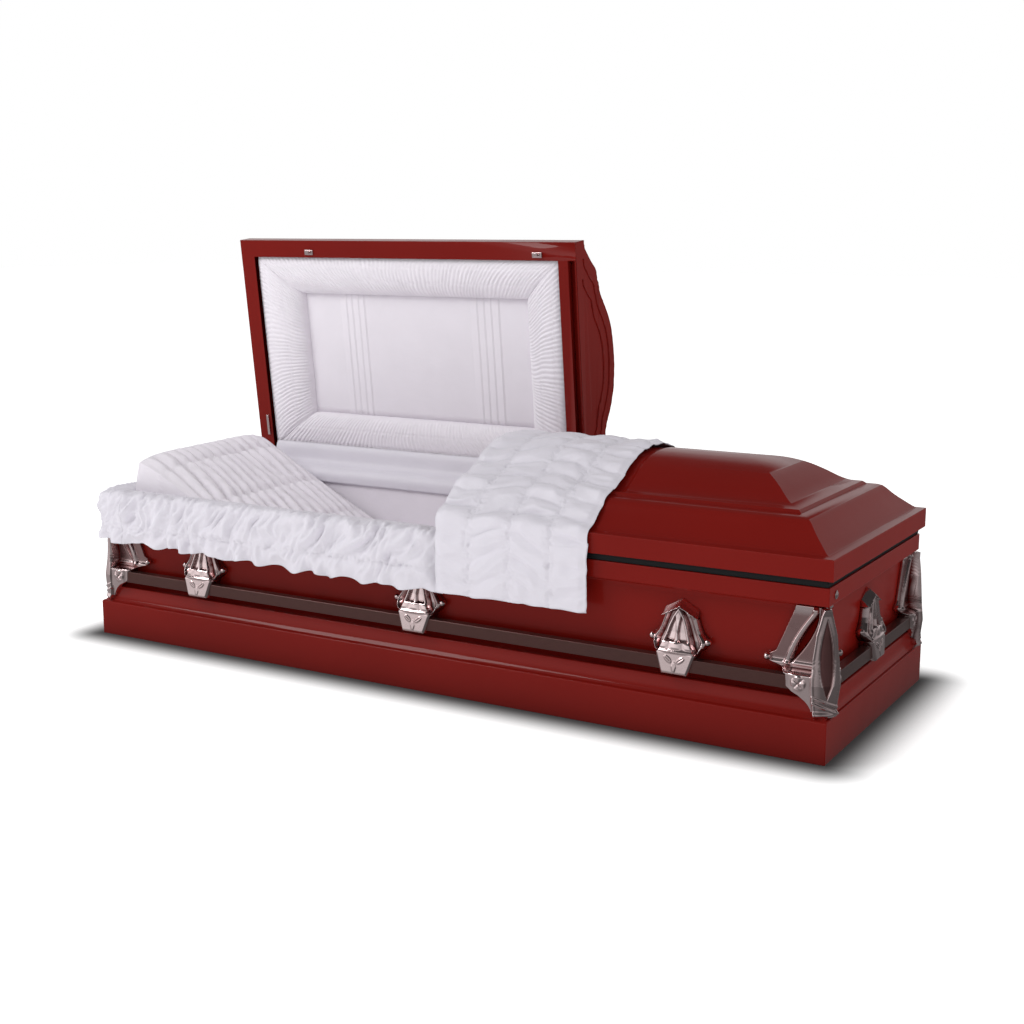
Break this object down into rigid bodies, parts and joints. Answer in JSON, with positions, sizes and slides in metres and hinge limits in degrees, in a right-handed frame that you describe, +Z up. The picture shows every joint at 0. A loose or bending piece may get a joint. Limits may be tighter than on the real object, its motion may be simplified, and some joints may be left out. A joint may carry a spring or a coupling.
{
  "type": "funeral casket",
  "caption": "Half-couch steel casket with domed hinged lids, stepped plinth, cast handle lugs carrying square bars, and a gathered satin interior.",
  "frame": {"origin": "middle of the underside, on the plane it stands on", "axes": "+X along the length towards the foot end, -Y out of the front, +Z up"},
  "size_m": [2.1305, 0.8851, 1.0911],
  "materials": {
    "lacquered_steel": "deep red gloss lacquer",
    "rose_chrome": "rose-tinted plated castings",
    "bronze_bar": "dark brown bronze lacquer",
    "gasket_rubber": "matt black",
    "satin": "off-white satin"
  },
  "bodies": {
    "casket_body": {"base_moulding": "lacquered_steel", "body_shell": "lacquered_steel", "gasket": "gasket_rubber", "bar_front": "bronze_bar", "bar_back": "bronze_bar", "bar_head": "bronze_bar", "bar_foot": "bronze_bar", "lug_front_head": "rose_chrome", "lug_front_middle": "rose_chrome", "lug_front_foot": "rose_chrome", "lug_back_head": "rose_chrome", "lug_back_middle": "rose_chrome", "lug_back_foot": "rose_chrome", "lug_head_end": "rose_chrome", "lug_foot_end": "rose_chrome", "corner_front_foot": "rose_chrome", "corner_back_foot": "rose_chrome", "corner_front_head": "rose_chrome", "corner_back_head": "rose_chrome", "key_plug": "rose_chrome", "hinge_body_head_1": "rose_chrome", "hinge_body_head_2": "rose_chrome", "hinge_body_foot_1": "rose_chrome", "hinge_body_foot_2": "rose_chrome", "side_lining": "satin", "mattress": "satin", "pillow": "satin", "front_apron": "satin", "head_apron": "satin", "hinge_cloth": "satin"},
    "head_lid": {"head_lid": "lacquered_steel", "lid_roll_front": "satin", "lid_roll_split": "satin", "lid_roll_hinge": "satin", "lid_roll_head": "satin", "lid_panel": "satin", "lid_catch_1": "rose_chrome", "lid_catch_2": "rose_chrome", "lid_stay": "rose_chrome", "hinge_lid_head_1": "rose_chrome", "hinge_lid_head_2": "rose_chrome"},
    "foot_lid": {"foot_lid": "lacquered_steel", "overlay": "satin", "hinge_lid_foot_1": "rose_chrome", "hinge_lid_foot_2": "rose_chrome"}
  },
  "joints": [
    {"name": "head_lid_hinge", "type": "hinge", "parent": "casket_body", "child": "head_lid", "pos_m": [0, 0.3503, 0.3927], "axis": [-1, 0, 0], "range_deg": [-83.3, 0], "deforming": ["front_apron", "head_apron", "hinge_cloth", "pillow", "overlay"]},
    {"name": "foot_lid_hinge", "type": "hinge", "parent": "casket_body", "child": "foot_lid", "pos_m": [0, 0.3503, 0.3927], "axis": [-1, 0, 0], "range_deg": [0, 83.3], "deforming": ["overlay"]}
  ]
}
